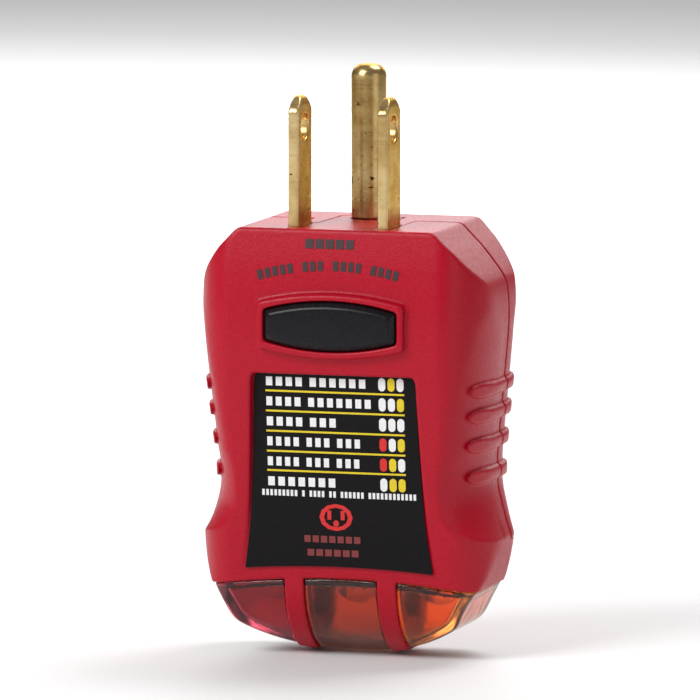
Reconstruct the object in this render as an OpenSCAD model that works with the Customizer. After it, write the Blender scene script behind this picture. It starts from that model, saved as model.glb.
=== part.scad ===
// Outlet tester plug for a grounded 15 A, 125 V receptacle.
// Frame: origin on the plug face, midway between the two flat blades.
// +X to the right seen from the label side, +Y towards the back, +Z along the blades.

/* [Body] */
// Width across the lower bulge
body_w = 42.6; // [42:0.1:43]
// Length of the body below the plug face
body_h = 60.1; // [59:0.1:61]
// Depth from the crown of the front to the flat back
body_d = 25.4; // [25:0.1:26]
// Distance of the crown of the front from the blades' middle plane
front_reach = 6.4; // [6.2:0.1:6.8]
// Thickness of the plastic walls
wall = 2; // [1.8:0.1:2.2]
// Plane where the front shell meets the rear shell
parting_y = 9.6; // [9.4:0.1:9.8]
// Gap left between pieces that meet
seam = 0.1; // [0.06:0.02:0.14]

/* [Prongs] */
// Distance between the middles of the two flat blades
blade_pitch = 12.7; // [12.6:0.1:12.8]
// Width of a flat blade
blade_w = 6.35; // [6.1:0.05:6.4]
// Thickness of a flat blade
blade_t = 1.52; // [1.4:0.02:1.6]
// Length of a flat blade above the plug face
blade_len = 17.9; // [16:0.1:18.2]
// Radius of the hole in a flat blade
blade_hole_r = 1.8; // [1.6:0.05:2]
// Height of that hole above the plug face
blade_hole_z = 13.6; // [11:0.1:13.8]
// Radius of the round grounding pin
pin_r = 2.4; // [2.35:0.01:2.42]
// Length of the grounding pin above the plug face
pin_len = 21.4; // [20:0.1:21.6]
// Distance of the grounding pin behind the blades' middle plane
pin_y = 11.89; // [11.8:0.01:12]
// Radius of the rounding at the pin's tip
pin_tip_r = 1.7; // [1.2:0.1:2]

/* [Button] */
// Width of the button
button_w = 18.75; // [18:0.05:19.5]
// Height of the button in the middle
button_h = 6.8; // [6.4:0.1:7]
// Height of the button at its ends
button_end_h = 4.15; // [3.9:0.05:4.4]
// Height of the button's centre
button_z = -13.1; // [-13.4:0.1:-12.9]
// Travel of the button
button_travel = 1.2; // [0.8:0.1:1.3]
// How far the button stands proud of its rim at rest
button_proud = 0.6; // [0.5:0.1:1]
// How far the rim stands proud of the front
rim_proud = 1; // [0.8:0.1:1.2]
// Width of the rim around the button
rim_wall = 1.07; // [1:0.01:1.2]

/* [Label] */
// Height of the label's upper edge
label_top_z = -19.7; // [-20:0.1:-19.5]
// Height of the label's lower corners
label_low_z = -47.4; // [-47.6:0.1:-47]
// Rise of the label's arched lower edge in the middle
label_arch = 0.6; // [0.4:0.1:0.8]
// Half width of the label at its upper edge
label_top_w = 11.45; // [11:0.05:11.6]
// Half width of the label at its lower edge
label_low_w = 13.4; // [13:0.1:13.5]
// Backward lean of the label, in degrees
label_tilt = 4.35; // [4:0.05:4.6]
// Thickness of the label
label_t = 0.2; // [0.15:0.05:0.3]

/* [Lenses] */
// Height where the lenses begin, on the middle line
lens_top_z = -48.5; // [-49:0.1:-48]
// Radius of that edge, which sinks towards the sides
lens_edge_r = 125; // [110:1:140]
// Distance of the rib between two lenses from the middle plane
rib_x = 6.6; // [6.4:0.1:6.8]
// Width of a rib
rib_w = 2.6; // [2.4:0.1:2.8]
// How far the lenses sit below the shells' surface
lens_sunk = 0.3; // [0.2:0.05:0.4]
// Thickness of a lens
lens_t = 1.5; // [1.4:0.1:1.6]

/* [Inside] */
// Face of the circuit board towards the front
board_y = 7.7; // [7.6:0.05:7.8]
// Thickness of the circuit board
board_t = 1.5; // [1.4:0.1:1.6]
// Radius of a lamp's glass bulb
lamp_r = 2.9; // [2.7:0.1:3]
// Distance between neighbouring lamps
lamp_pitch = 11.8; // [11.5:0.1:12]

/* [Hidden] */
$fn = 64;

half_w = body_w / 2;
front_y = -front_reach;
back_y = body_d - front_reach;
big = 200;
red = "#b90d33";
black = "#1d1b1e";
brass = "#c9a25c";

// Side of the body seen from the front, as [half width, height], down to the corner of the bottom.
side_line = [
    [13.9, 0], [15.5, -1.65], [17.1, -3.3], [19.8, -6.8], [20.55, -8.9], [20.75, -12],
    [20.5, -17], [19.9, -23.5], [19.2, -31.5], [19.15, -35.2], [19.7, -38.3],
    [half_w, -43.3], [19.8, -48.5], [17.7, -52.3], [16.4, -54.8], [15.3, -55.9]
];
// Front of the body seen from the side, as [y, height].
front_line = [
    [front_y + 1.5, 0], [front_y + 0.5, -6], [front_y, -13], [front_y + 0.5, -22],
    [front_y + 1.8, -33], [front_y + 3.1, -42], [front_y + 4.1, -48.5]
];
// Back of the body seen from the side, from the end of its flat face down.
back_line = [[back_y, -33], [back_y - 0.25, -38], [back_y - 1.1, -43], [back_y - 2.7, -48.5]];
bottom_mid_y = parting_y;
bottom_round_h = body_h + front_line[6][1];

// Grip bars: their heights on each side, radius and how far they stand proud.
grip_heights = [-22.1, -25.7, -29.8, -34.2];
grip_r = 1;
grip_proud = 0.7;
grip_front_y = -1;

// Plan of the body: reach of the round corners along X and Y, at the front and at the back.
front_corner = [7, 13];
back_corner = [8.5, 8];

label_top_y = front_y + 1.725;
label_backing = 2;

// Lip of a lens behind the shells' edge.
lip_h = 2;
lip_t = 0.7;

flange_lip = 1.1;
flange_t = 1.2;
flange_y = -4;
stem = [3.6, 4.3, 2.8];

leaf_w = 4;
metal_t = 0.4;
leaf_y = flange_y + flange_t + stem[1] + seam;
contact_y = leaf_y + metal_t + button_travel;

// The rear shell's tabs behind the blades, and the front shell's tongue round the grounding pin.
tab_w = 2.4;
tab_in = 0.3;
tab_front_y = 4.2;
tongue_w = 9;
tongue_back_y = 13.8;

// Screws that hold the shells together, and the posts that hold the board.
screw_x = 14.5;
screw_z = -17;
screw_head_r = 2.5;
screw_r = 1.25;
boss_r = 3;
screw_tip_y = 1.5;
head_sink = 2.2;
posts = [[9.3, -22], [12.8, -37.6]];
post_r = 1.2;

lamp_y = board_y - seam - 0.3;
lamp_base_z = -45.2;
lamp_tip_z = -53;
lead_r = 0.3;

wire_r = 0.8;
tail_z = -7;
neck_r = 1.7;
mouth_h = 0.5;

// Point of a Catmull-Rom curve between b and c.
function curve_point(a, b, c, d, t) =
    0.5 * (2 * b + (c - a) * t + (2 * a - 5 * b + 4 * c - d) * t * t
    + (3 * b - a - 3 * c + d) * t * t * t);
// Smooth curve through every point of a list, without its last point.
function smooth(p, steps = 5) = [
    for (i = [0 : len(p) - 2]) for (s = [0 : steps - 1])
        curve_point(p[max(i - 1, 0)], p[i], p[i + 1], p[min(i + 2, len(p) - 1)], s / steps)
];
// Arc of an ellipse about a centre, from angle a0 to a1.
function arc(centre, rx, ry, a0, a1, n = 12) = [
    for (i = [0 : n]) let (a = a0 + (a1 - a0) * i / n) centre + [rx * cos(a), ry * sin(a)]
];
function mirrored(p) = [for (i = [len(p) - 1 : -1 : 0]) [-p[i][0], p[i][1]]];
function label_y(z) = label_top_y + (label_top_z - z) * tan(label_tilt);
// Radius of an arc from its half chord and its height.
function arc_radius(half_chord, height) = (half_chord * half_chord + height * height) / (2 * height);

// Outline of the body from the front.
module front_outline() {
    corner = side_line[len(side_line) - 1];
    r = arc_radius(corner[0], body_h + corner[1]);
    half_angle = asin(corner[0] / r);
    side = smooth(side_line);
    bottom = arc([0, r - body_h], r, r, half_angle - 90, -90 - half_angle, 24);
    polygon(concat(side, bottom, mirrored(side)));
}

// Outline of the body from the side, drawn as [y, z].
module side_outline() {
    front = smooth(front_line);
    front_round = arc([bottom_mid_y, -body_h + bottom_round_h],
        bottom_mid_y - front_line[6][0], bottom_round_h, 180, 270);
    back_round = arc([bottom_mid_y, -body_h + bottom_round_h],
        back_line[3][0] - bottom_mid_y, bottom_round_h, 270, 360);
    back = smooth([for (i = [3 : -1 : 0]) back_line[i]]);
    polygon(concat(front, front_round, [for (i = [1 : 11]) back_round[i]], back,
        [back_line[0], [back_y, 0]]));
}

// Plan of the body, with elliptical corners.
module plan_outline() {
    f = front_corner;
    b = back_corner;
    right = concat(
        arc([half_w - b[0], back_y - b[1]], b[0], b[1], 90, 0, 8),
        arc([half_w - f[0], front_y + f[1]], f[0], f[1], 0, -90, 10));
    polygon(concat(right, mirrored(right)));
}

// Extrudes a drawing of [x, z] through the whole depth.
module along_y() {
    translate([0, big / 2, 0]) rotate([90, 0, 0]) linear_extrude(big) children();
}

// Body without its front outline: the side view crossed with the plan.
module depth_form(inset = 0) {
    intersection() {
        translate([-big / 2, 0, 0]) rotate([90, 0, 90]) linear_extrude(big)
            offset(delta = -inset) side_outline();
        translate([0, 0, -big / 2]) linear_extrude(big) offset(delta = -inset) plan_outline();
    }
}

// Whole body as a solid, its walls moved in by inset.
module body_form(inset = 0) {
    intersection() {
        depth_form(inset);
        along_y() offset(delta = -inset) front_outline();
    }
}

module grip_bars() {
    intersection() {
        depth_form();
        for (side = [-1, 1], z = grip_heights) {
            x = lookup(-z, [for (p = side_line) [-p[1], p[0]]]) + grip_proud - grip_r;
            translate([side * x, back_y, z]) rotate([90, 0, 0])
                cylinder(r = grip_r, h = back_y - grip_front_y);
        }
    }
}

// Space below the edge of the lenses.
module lens_zone(gap = 0) {
    translate([0, big / 2, lens_top_z - lens_edge_r]) rotate([90, 0, 0])
        cylinder(r = lens_edge_r - gap, h = big, $fn = 256);
}

// Slabs where the ribs run between the lenses.
module rib_slabs(grow = 0) {
    for (side = [-1, 1])
        translate([side * rib_x - rib_w / 2 - grow, -big / 2, -big])
            cube([rib_w + 2 * grow, big, big]);
}

module half_space(y0, y1) {
    translate([-big / 2, y0, -big / 2]) cube([big, y1 - y0, big]);
}

// Shell of the whole housing, with the ribs but without the lenses.
module housing_shell() {
    difference() {
        union() {
            body_form();
            grip_bars();
        }
        body_form(wall);
        difference() {
            lens_zone();
            rib_slabs();
        }
    }
    intersection() {
        difference() {
            body_form();
            body_form(2.2 * wall);
        }
        rib_slabs();
        translate([-big / 2, -big / 2, lens_top_z + wall - big]) cube([big, big, big]);
    }
}

// Shape with arched upper and lower edges, drawn as [x, z].
module barrel(w, h, end_h) {
    r = arc_radius(w / 2, (h - end_h) / 2);
    intersection() {
        square([w, h], center = true);
        translate([0, h / 2 - r]) circle(r, $fn = 180);
        translate([0, r - h / 2]) circle(r, $fn = 180);
    }
}

// Barrel of the button's size plus grow on every side, between two depths.
module button_prism(y0, y1, grow = 0) {
    translate([0, y1, button_z]) rotate([90, 0, 0]) linear_extrude(y1 - y0)
        barrel(button_w + 2 * grow, button_h + 2 * grow, button_end_h + 2 * grow);
}

// Puts a drawing of [x, z] on the leaning plane of the label, growing towards the front.
module on_label_plane(t) {
    translate([0, label_top_y, label_top_z]) rotate([label_tilt, 0, 0]) rotate([90, 0, 0])
        linear_extrude(t) children();
}

module label_outline() {
    h = label_top_z - label_low_z;
    r = arc_radius(label_low_w, label_arch);
    half_angle = asin(label_low_w / r);
    side = smooth([[label_top_w, 0], [label_top_w + 0.5, -0.45 * h],
        [label_top_w + 1.05, -0.75 * h], [label_low_w, -h]], 4);
    low = arc([0, label_arch - h - r], r, r, 90 - half_angle, 90 + half_angle, 8);
    polygon(concat(side, low, mirrored(side)));
}

// Slot of a flat blade through the plug face, running back to the rear shell's tab.
module blade_slot(x, grow) {
    translate([x - blade_t / 2 - grow, -blade_w / 2 - grow, tail_z - 1])
        cube([blade_t + 2 * grow, blade_w + 2 * grow, 1 - tail_z + seam]);
}

// Tabs of the rear shell that close the slots behind the blades.
module blade_tabs(grow = 0) {
    for (side = [-1, 1])
        translate([side * (blade_pitch / 2 - tab_in) - tab_w / 2 - grow, tab_front_y - grow,
            -wall - grow])
            cube([tab_w + 2 * grow, parting_y - tab_front_y + wall, wall + 2 * grow]);
}

// Tongue of the front shell that reaches back round the grounding pin.
module pin_tongue(grow = 0) {
    translate([-tongue_w / 2 - grow, parting_y - wall, -wall - grow])
        cube([tongue_w + 2 * grow, tongue_back_y - parting_y + wall + grow, wall + 2 * grow]);
}

// Hole for the grounding pin's neck, wider at the face so that the pin clears it.
module pin_hole() {
    translate([0, pin_y, tail_z]) cylinder(r = neck_r + seam, h = 1 - tail_z);
    translate([0, pin_y, -mouth_h]) cylinder(r = pin_r + seam, h = 1 + mouth_h);
}

// Cylinders along Y at the four places of a mirrored pair list.
module rods_y(places, r, y0, y1) {
    for (side = [-1, 1], p = places)
        translate([side * p[0], y1, p[1]]) rotate([90, 0, 0]) cylinder(r = r, h = y1 - y0);
}

module front_housing() {
    color(red) difference() {
        union() {
            intersection() {
                housing_shell();
                half_space(-big, parting_y);
            }
            intersection() {
                body_form();
                pin_tongue();
            }
            // Rim of the button, and the wall behind the label.
            button_prism(front_y - rim_proud, front_y + wall, rim_wall);
            intersection() {
                body_form();
                translate([0, label_backing, 0]) on_label_plane(label_backing) label_outline();
            }
            intersection() {
                body_form(0.5);
                union() {
                    rods_y([[screw_x, screw_z]], boss_r, -big / 2, parting_y);
                    for (p = posts) rods_y([p], post_r, label_y(p[1]) + 1, board_y - seam);
                }
            }
        }
        button_prism(-big / 2, front_y + 2 * wall, 0.12);
        on_label_plane(big) offset(delta = 0.25) label_outline();
        blade_tabs(seam);
        for (side = [-1, 1]) blade_slot(side * blade_pitch / 2, seam);
        pin_hole();
        rods_y([[screw_x, screw_z]], screw_r + seam, screw_tip_y - 1, big / 2);
    }
}

module rear_housing() {
    color(red) difference() {
        union() {
            intersection() {
                housing_shell();
                half_space(parting_y + seam, big);
            }
            intersection() {
                body_form();
                blade_tabs();
            }
            intersection() {
                body_form(0.5);
                union() {
                    rods_y([[screw_x, screw_z]], boss_r, parting_y + seam, big / 2);
                    rods_y(posts, post_r, board_y + board_t + seam, big / 2);
                }
            }
        }
        pin_tongue(seam);
        pin_hole();
        for (side = [-1, 1]) blade_slot(side * blade_pitch / 2, seam);
        rods_y([[screw_x, screw_z]], screw_r + seam, -big / 2, big / 2);
        rods_y([[screw_x, screw_z]], screw_head_r + 2 * seam, back_y - head_sink, big / 2);
    }
}

module front_label() {
    color(black) translate([0, -0.02, 0]) on_label_plane(label_t) label_outline();
}

module test_button() {
    chamfer = 0.7;
    top_y = front_y - rim_proud - button_proud;
    color(black) {
        hull() {
            button_prism(top_y, top_y + 0.1, -chamfer);
            button_prism(top_y + chamfer, flange_y);
        }
        button_prism(flange_y, flange_y + flange_t, flange_lip);
        translate([-stem[0] / 2, flange_y, button_z - stem[2] / 2])
            cube([stem[0], flange_t + stem[1], stem[2]]);
    }
}

// One lens, between two distances from the middle plane, with a lip behind the shell's edge.
module lens(x0, x1) {
    intersection() {
        union() {
            intersection() {
                difference() {
                    body_form(lens_sunk);
                    body_form(lens_sunk + lens_t);
                }
                lens_zone(seam);
            }
            difference() {
                intersection() {
                    body_form(lens_sunk + lens_t / 2);
                    lens_zone(seam);
                }
                body_form(wall + seam + lip_t);
                lens_zone(lip_h);
            }
            difference() {
                intersection() {
                    body_form(wall + seam);
                    lens_zone(-lip_h);
                }
                body_form(wall + seam + lip_t);
                lens_zone(lip_h);
            }
        }
        translate([x0, -big / 2, -big]) cube([x1 - x0, big, big]);
    }
}

rib_out_x = rib_x + rib_w / 2 + seam;
rib_in_x = rib_x - rib_w / 2 - seam;
module lens_left() { color("#8a1020", 0.75) lens(-half_w, -rib_out_x); }
module lens_centre() { color("#e0661c", 0.75) lens(-rib_in_x, rib_in_x); }
module lens_right() { color("#e0661c", 0.75) lens(rib_out_x, half_w); }

// Flat blade with chamfered tip corners, a hole, and a wing that locks it behind the plug face.
module blade(x) {
    tip = [2, 1.8];
    wing_h = 2.4;
    outline = [
        [-blade_w / 2, tail_z], [-blade_w / 2, blade_len - tip[1]],
        [-blade_w / 2 + tip[0], blade_len], [blade_w / 2 - tip[0], blade_len],
        [blade_w / 2, blade_len - tip[1]], [blade_w / 2, -wall - seam],
        [blade_w / 2 + 1.6, -wall - seam], [blade_w / 2 + 1.6, -wall - seam - wing_h],
        [blade_w / 2, -wall - seam - wing_h], [blade_w / 2, tail_z]
    ];
    color(brass) difference() {
        translate([x - blade_t / 2, 0, 0]) rotate([90, 0, 90]) linear_extrude(blade_t)
            polygon(outline);
        translate([x - blade_t, 0, blade_hole_z]) rotate([0, 90, 0])
            cylinder(r = blade_hole_r, h = 2 * blade_t);
    }
}

module hot_blade() { blade(blade_pitch / 2); }
module neutral_blade() { blade(-blade_pitch / 2); }

// Round pin that stands on the plug face, with a neck through it, a collar behind it and a tail.
module ground_pin() {
    collar_r = 3.2;
    collar_h = 1.6;
    tail_r = 1.6;
    color(brass) translate([0, pin_y, 0]) {
        rotate_extrude() {
            square([pin_r, pin_len - pin_tip_r]);
            square([pin_r - pin_tip_r, pin_len]);
            intersection() {
                translate([pin_r - pin_tip_r, pin_len - pin_tip_r]) circle(pin_tip_r);
                square([pin_r, pin_len]);
            }
        }
        translate([0, 0, -wall - seam]) cylinder(r = neck_r, h = wall + seam);
        translate([0, 0, -wall - seam - collar_h]) cylinder(r = collar_r, h = collar_h);
        translate([0, 0, tail_z]) cylinder(r = tail_r, h = -tail_z - wall - seam);
    }
}

module circuit_board() {
    upper_w = 11;
    lower_w = 14.5;
    right = [[upper_w, -11], [upper_w, -33], [lower_w, -36], [lower_w, -44]];
    color("#2f6b3c") translate([0, board_y + board_t, 0]) rotate([90, 0, 0])
        linear_extrude(board_t) polygon(concat(right, mirrored(right)));
}

// Bent strip from the board: a foot, an arm towards the front and a blade going up.
module strip(w, y, foot_z, top_z, foot_h) {
    translate([-w / 2, board_y - seam - metal_t, foot_z - foot_h]) cube([w, metal_t, foot_h]);
    translate([-w / 2, y, foot_z - metal_t]) cube([w, board_y - seam - y, metal_t]);
    translate([-w / 2, y, foot_z - metal_t]) cube([w, metal_t, top_z - foot_z + metal_t]);
}

module contact_leaf() { color("#c8b06a") strip(leaf_w, leaf_y, -26.6, -11, 3); }
module fixed_contact() { color("#c0c0c4") strip(leaf_w - 1, contact_y, -16.4, -11, 3); }

// Hollow glass bulb with a thick base that the two leads pass through.
module lamp_glass(x) {
    glass_t = 0.4;
    base_h = 1.4;
    h = lamp_base_z - lamp_tip_z;
    color("#ffd9b0", 0.5) difference() {
        translate([x, lamp_y, lamp_tip_z + lamp_r]) {
            cylinder(r = lamp_r, h = h - lamp_r);
            sphere(lamp_r);
        }
        translate([x, lamp_y, lamp_tip_z + lamp_r]) {
            cylinder(r = lamp_r - glass_t, h = h - lamp_r - base_h);
            sphere(lamp_r - glass_t);
        }
        for (s = [-1, 1]) translate([x + s * 0.8, lamp_y, lamp_tip_z + lamp_r])
            cylinder(r = lead_r + 0.03, h = h);
    }
}

module lamp_glass_left() { lamp_glass(-lamp_pitch); }
module lamp_glass_centre() { lamp_glass(0); }
module lamp_glass_right() { lamp_glass(lamp_pitch); }

module lamp_leads() {
    color("#b8b8b8") for (x = [-lamp_pitch, 0, lamp_pitch], s = [-1, 1])
        translate([x + s * 0.8, lamp_y, lamp_tip_z + 1.6]) cylinder(r = lead_r, h = 12);
}

// Axial resistor along Z with its leads bent towards the board.
module resistor(x, z, r, length) {
    y = board_y - seam - r;
    lead_h = 1.4;
    translate([x, y, z - length / 2]) cylinder(r = r, h = length);
    for (s = [-1, 1]) translate([x, y, z + s * (length / 2 + lead_h / 2)]) {
        cylinder(r = lead_r, h = lead_h, center = true);
        translate([0, 0, s * lead_h / 2]) sphere(lead_r);
        translate([0, 0, s * lead_h / 2]) rotate([-90, 0, 0])
            cylinder(r = lead_r, h = board_y - seam - y);
    }
}

module lamp_resistors() { color("#cdb38a") for (x = [-8.4, -3.6, 3.6]) resistor(x, -39.4, 1.1, 5); }
module test_resistor() {
    color("#5b87a6") translate([0, 0, -32.4]) rotate([0, 90, 0]) resistor(0, 0, 1.9, 11);
}

// Insulated wire through a list of points, a little thicker at its bends.
module wire(points) {
    bend_r = 1.06 * wire_r;
    for (i = [0 : len(points) - 2]) {
        v = points[i + 1] - points[i];
        translate(points[i]) rotate([0, acos(v[2] / norm(v)), atan2(v[1], v[0])])
            cylinder(r = wire_r, h = norm(v), $fn = 32);
        if (i > 0) translate(points[i]) sphere(bend_r, $fn = 32);
    }
}

wire_x = blade_pitch / 2;
blade_wire = [[0, 2.2, tail_z - seam], [0, 2.2, -8.4], [0.9, 4.4, -12.4],
    [0.9, board_y - seam, -12.4]];
module hot_wire() { color("#202022") wire([for (p = blade_wire) p + [wire_x, 0, 0]]); }
module neutral_wire() { color("#e6e4dc") wire([for (p = blade_wire) [-p[0] - wire_x, p[1], p[2]]]); }
module ground_wire() {
    color("#2c8a45") wire([[0, pin_y, tail_z - seam], [0, pin_y, -14],
        [0, board_y + board_t + seam, -14]]);
}

// Screws from the back, with a cross recess.
module case_screws() {
    head_h = 1.6;
    cross = [3, 0.8, 0.9];
    head_y = back_y - head_sink + seam;
    color("#8c8f94") for (side = [-1, 1]) translate([side * screw_x, 0, screw_z]) difference() {
        union() {
            translate([0, head_y, 0]) rotate([90, 0, 0])
                cylinder(r = screw_r, h = head_y - screw_tip_y);
            translate([0, head_y + head_h, 0]) rotate([90, 0, 0])
                cylinder(r = screw_head_r, h = head_h);
        }
        for (a = [0, 90]) translate([0, head_y + head_h, 0]) rotate([0, a, 0])
            cube([cross[0], 2 * cross[2], cross[1]], center = true);
    }
}

front_housing();
rear_housing();
front_label();
test_button();
lens_left();
lens_centre();
lens_right();
hot_blade();
neutral_blade();
ground_pin();
circuit_board();
contact_leaf();
fixed_contact();
lamp_glass_left();
lamp_glass_centre();
lamp_glass_right();
lamp_leads();
lamp_resistors();
test_resistor();
hot_wire();
neutral_wire();
ground_wire();
case_screws();
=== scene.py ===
"""Looks of the outlet tester plug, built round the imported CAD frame.

Lengths are in millimetres in the frame's axes until a mesh is made: +X right, +Y back, +Z along the blades.
The shells, lenses, button and prongs are carved from signed-distance fields, so that every edge is rounded.
"""

import math

import bpy
import numpy as np
from mathutils import Matrix, Vector


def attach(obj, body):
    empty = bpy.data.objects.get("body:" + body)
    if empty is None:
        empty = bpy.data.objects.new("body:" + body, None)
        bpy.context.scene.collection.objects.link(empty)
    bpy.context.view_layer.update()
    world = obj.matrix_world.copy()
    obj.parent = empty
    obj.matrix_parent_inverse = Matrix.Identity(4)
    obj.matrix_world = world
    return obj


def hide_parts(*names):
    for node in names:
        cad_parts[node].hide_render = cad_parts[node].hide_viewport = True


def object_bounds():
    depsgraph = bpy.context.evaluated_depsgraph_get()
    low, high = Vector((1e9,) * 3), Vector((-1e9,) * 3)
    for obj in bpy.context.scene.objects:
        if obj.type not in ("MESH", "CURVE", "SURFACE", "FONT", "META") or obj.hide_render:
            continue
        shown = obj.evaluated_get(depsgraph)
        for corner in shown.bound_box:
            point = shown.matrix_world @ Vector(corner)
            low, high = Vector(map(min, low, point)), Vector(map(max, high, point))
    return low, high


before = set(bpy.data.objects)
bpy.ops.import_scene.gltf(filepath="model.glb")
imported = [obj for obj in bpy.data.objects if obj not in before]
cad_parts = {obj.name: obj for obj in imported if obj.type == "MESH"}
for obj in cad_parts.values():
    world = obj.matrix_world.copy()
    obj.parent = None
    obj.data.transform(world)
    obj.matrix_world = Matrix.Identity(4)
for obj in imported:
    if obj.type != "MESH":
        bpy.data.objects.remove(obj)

cad_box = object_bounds()
MM = 0.001

# ---------------------------------------------------------------- driving sizes
BULGE_W = 21.3
FRONT_Y = -6.4
BACK_Y = 19.0
BODY_H = 60.1
WALL = 2.0
PARTING_Y = 9.6
SEAM = 0.1
PARTING_GAP = 0.2
PARTING_EDGE_R = 0.35
# below the waist the front shell reaches back to here round the sides
WRAP_Y = 14.6
WRAP_Z = -43.6
WRAP_X = 14.0
WRAP_SHARPNESS = 3
TAB_Y = 4.2
TONGUE_HALF_W = 4.5
TONGUE_Y = 13.8

BLADE_X = 6.35
BLADE_W = 6.35
BLADE_T = 1.52
BLADE_LEN = 17.9
BLADE_HOLE_R = 1.8
BLADE_HOLE_Z = 13.6
PIN_Y = 11.89
PIN_R = 2.4
PIN_LEN = 21.4
PIN_TIP_R = 1.7
NECK_R = 1.7
COLLAR_R = 3.2
TAIL_R = 1.6
TAIL_Z = -7.0

BUTTON_Z = -13.1
BUTTON = (18.75, 6.8, 4.15)
RIM_WALL = 1.07
RIM_PROUD = 1.0
BUTTON_PROUD = 0.6

LABEL_TOP_Z = -19.7
LABEL_TOP_Y = FRONT_Y + 1.725
LABEL_H = 27.7
LABEL_TOP_HALF = 11.45
LABEL_LOW_HALF = 13.4
LABEL_CORNER_R = 1.1
LABEL_ARCH = 0.6
LABEL_TILT = math.radians(4.35)

LENS_TOP_Z = -48.5
LENS_EDGE_R = 125.0
RIB_X = 6.6
RIB_W = 2.6
LENS_SUNK = 0.3
LENS_T = 1.5
LIP_H = 2.0
LIP_LOW = 0.9
LIP_T = 0.7

SCREWS = [(14.5, -17.0)]
SCREW_BOSS_R = 3.0
SCREW_SHANK_R = 1.35
SCREW_HEAD_R = 2.7
SCREW_HEAD_H = 2.2
POSTS = [(9.3, -22.0), (12.8, -37.6)]
POST_R = 1.2
BOARD_Y = 7.7
BOARD_T = 1.5

SHOULDER_LINE = [(13.9, 0), (15.5, -1.65), (17.1, -3.3), (19.8, -6.8), (20.55, -8.9), (20.75, -12)]
LOWER_LINE = [(21.3, -43.3), (19.8, -48.5), (17.7, -52.3), (16.4, -54.8), (15.3, -55.9)]
WAIST_LINE = [(21.6, -8), (20.85, -13), (20.5, -17), (19.9, -23.5), (19.2, -31.5), (19.15, -35.2),
              (19.7, -38.3), (21.35, -43.3), (25, -50)]
FRONT_LINE = [
    (-4.9, 0), (-5.9, -6), (-6.4, -13), (-5.9, -22), (-4.6, -33), (-3.3, -42), (-2.3, -48.5),
]
BACK_LINE = [(19, -33), (18.75, -38), (17.9, -43), (16.3, -48.5)]
BOTTOM_MID_Y = 9.6
GRIP_HEIGHTS = (-22.1, -25.7, -29.8, -34.2)
GRIP_R = 1.05
GRIP_PROUD = 0.7


# ---------------------------------------------------------------- curves and outlines
def smooth_curve(points, steps=10):
    """Catmull-Rom curve through every point."""
    p = np.array(points, float)
    out = []
    for i in range(len(p) - 1):
        a, b, c, d = p[max(i - 1, 0)], p[i], p[i + 1], p[min(i + 2, len(p) - 1)]
        for t in np.arange(steps) / steps:
            out.append(0.5 * (2 * b + (c - a) * t + (2 * a - 5 * b + 4 * c - d) * t**2
                              + (3 * b - a - 3 * c + d) * t**3))
    return np.array(out + [p[-1]])


def arc(centre, rx, ry, a0, a1, n=24):
    """Points along an arc of an ellipse, its angles in degrees."""
    a = np.radians(np.linspace(a0, a1, n + 1))
    return np.stack([centre[0] + rx * np.cos(a), centre[1] + ry * np.sin(a)], -1)


def mirrored(points):
    return np.array([(-x, z) for x, z in points[::-1]])


def arc_radius(half_chord, height):
    return (half_chord**2 + height**2) / (2 * height)


class Outline:
    """Signed distance to a closed outline, held in a table and read with a cubic B-spline."""

    def __init__(self, points, pitch=0.25, margin=5.0):
        p = np.array(points, float)
        self.low = p.min(0) - margin
        self.pitch = pitch
        count = np.ceil((p.max(0) + margin - self.low) / pitch).astype(int) + 1
        u = self.low[0] + pitch * np.arange(count[0])[:, None]
        v = self.low[1] + pitch * np.arange(count[1])[None, :]
        nearest = np.full(count, 1e9)
        inside = np.zeros(count, bool)
        for a, b in zip(p, np.roll(p, -1, 0)):
            e = b - a
            t = np.clip(((u - a[0]) * e[0] + (v - a[1]) * e[1]) / max(e @ e, 1e-12), 0, 1)
            nearest = np.minimum(nearest, (u - a[0] - t * e[0])**2 + (v - a[1] - t * e[1])**2)
            if a[1] != b[1]:
                crosses = (a[1] > v) != (b[1] > v)
                inside ^= crosses & (u < a[0] + e[0] * (v - a[1]) / e[1])
        self.table = np.where(inside, -1, 1) * np.sqrt(nearest)

    def __call__(self, u, v):
        def taps(w, low, count):
            s = np.clip((w - low) / self.pitch, 1, count - 2.001)
            i = np.floor(s).astype(int)
            t = s - i
            weights = ((1 - t)**3 / 6, (3 * t**3 - 6 * t**2 + 4) / 6,
                       (-3 * t**3 + 3 * t**2 + 3 * t + 1) / 6, t**3 / 6)
            return i, weights
        i, wu = taps(np.asarray(u, float), self.low[0], self.table.shape[0])
        j, wv = taps(np.asarray(v, float), self.low[1], self.table.shape[1])
        total = 0
        for a in range(4):
            for b in range(4):
                column = np.minimum(j + b - 1, self.table.shape[1] - 1)
                row = np.minimum(i + a - 1, self.table.shape[0] - 1)
                total = total + wu[a] * wv[b] * self.table[row, column]
        return total


# ---------------------------------------------------------------- fields
def smooth_max(a, b, k):
    h = np.maximum(k - np.abs(a - b), 0) / k
    return np.maximum(a, b) + 0.25 * k * h * h


def smooth_min(a, b, k):
    return -smooth_max(-a, -b, k)


def round_corner(d1, d2, r1, r2):
    """Intersection of two surfaces with an elliptical corner that is tangent to both."""
    u = np.maximum(d1 / r1 + 1, 0)
    v = np.maximum(d2 / r2 + 1, 0)
    scale = (u * u * r1 + v * v * r2 + 1e-9) / (u * u + v * v + 1e-9)
    return (np.sqrt(u * u + v * v) - 1) * scale


def slab(w, low, high):
    """Distance to the space between two planes."""
    return np.abs(w - (low + high) / 2) - (high - low) / 2


def box_field(x, y, z, low, high, k=0.2):
    return smooth_max(smooth_max(slab(x, low[0], high[0]), slab(y, low[1], high[1]), k),
                      slab(z, low[2], high[2]), k)


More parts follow.
